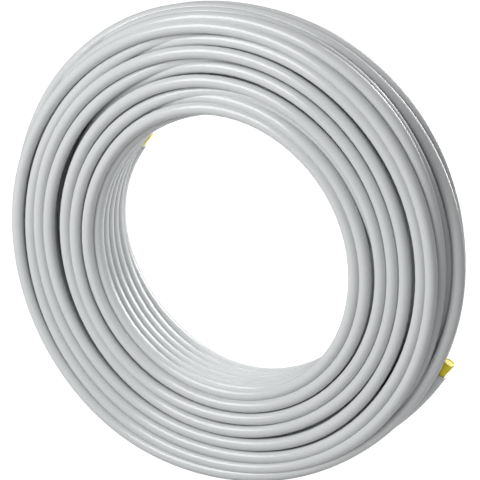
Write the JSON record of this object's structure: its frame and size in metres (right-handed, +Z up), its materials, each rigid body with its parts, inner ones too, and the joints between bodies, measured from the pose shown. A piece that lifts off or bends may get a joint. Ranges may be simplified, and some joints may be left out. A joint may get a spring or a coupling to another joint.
{
  "type": "coil of multilayer pipe",
  "caption": "Ring-shaped coil of white multilayer plastic pipe, wound in layers round an open bore and standing on its rim, with a yellow plug in each end.",
  "frame": {"origin": "centre of the bore, halfway between the coil's two faces", "axes": "+Z up, +Y along the bore away from the front face, +X to the right of the front face"},
  "size_m": [0.8104, 0.128, 0.8104],
  "materials": {
    "pipe": "semi-gloss white polyethylene",
    "plug": "satin yellow polyethylene"
  },
  "bodies": {
    "root": {"pipe_coil": "pipe", "outer_end_plug": "plug", "inner_end_plug": "plug"}
  },
  "joints": []
}
